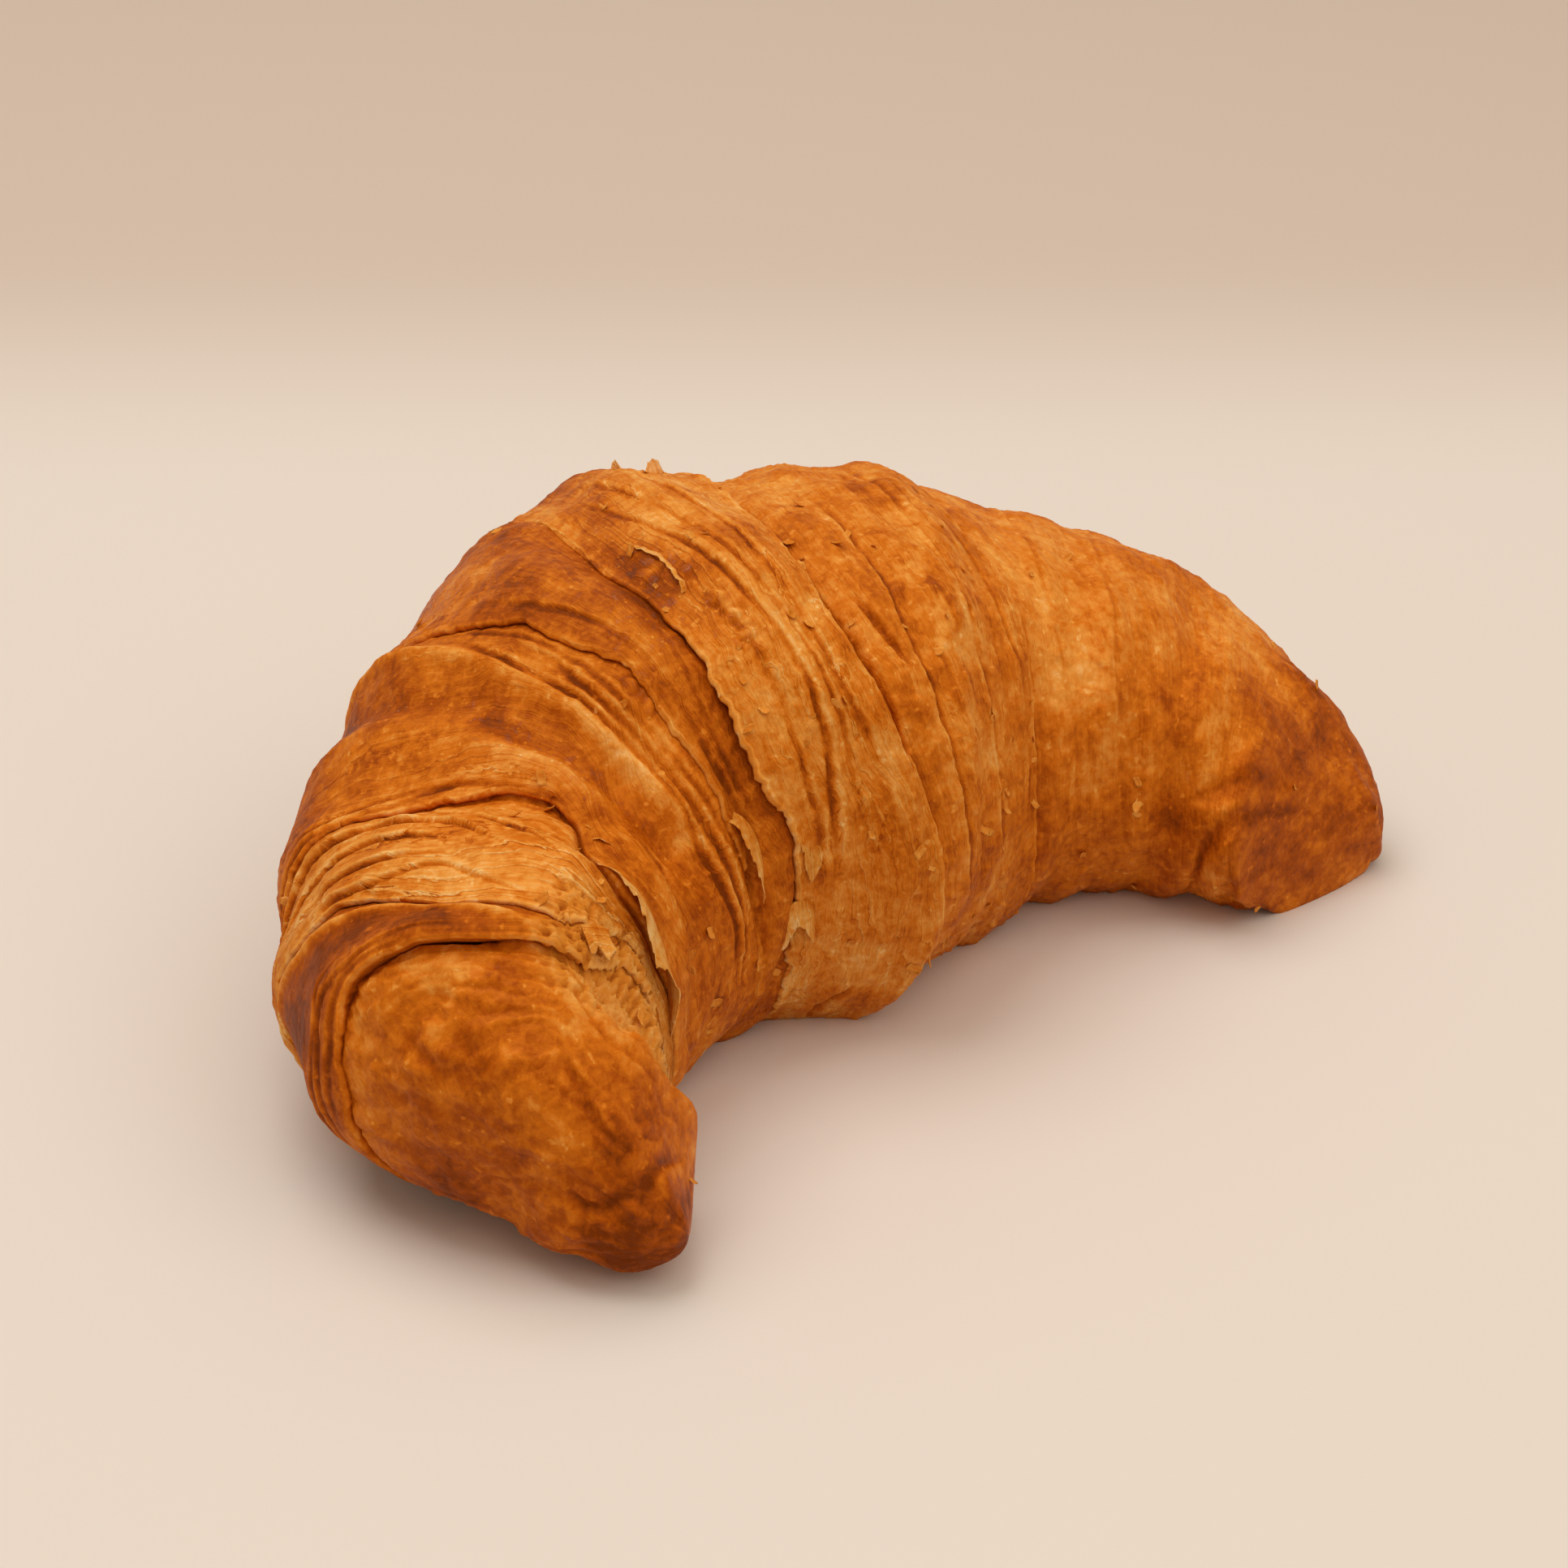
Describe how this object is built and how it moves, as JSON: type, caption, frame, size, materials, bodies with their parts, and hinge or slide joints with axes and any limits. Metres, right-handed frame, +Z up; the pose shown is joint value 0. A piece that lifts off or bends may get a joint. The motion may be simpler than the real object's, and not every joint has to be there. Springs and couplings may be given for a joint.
{
  "type": "croissant",
  "caption": "Baked crescent-shaped laminated pastry, rolled in overlapping wraps, with two curled horns and a flat base to rest on.",
  "frame": {"origin": "centre of the bounding box's bottom face, on the surface that the croissant rests on", "axes": "+X from the left horn to the right one, +Y towards the convex side, +Z up"},
  "size_m": [0.1423, 0.0896, 0.0548],
  "materials": {
    "crust": "golden-brown baked crust, egg-washed to a soft gloss on the smooth wraps and dry and flaky at the torn edges"
  },
  "bodies": {
    "root": {"croissant": "crust"}
  },
  "joints": []
}
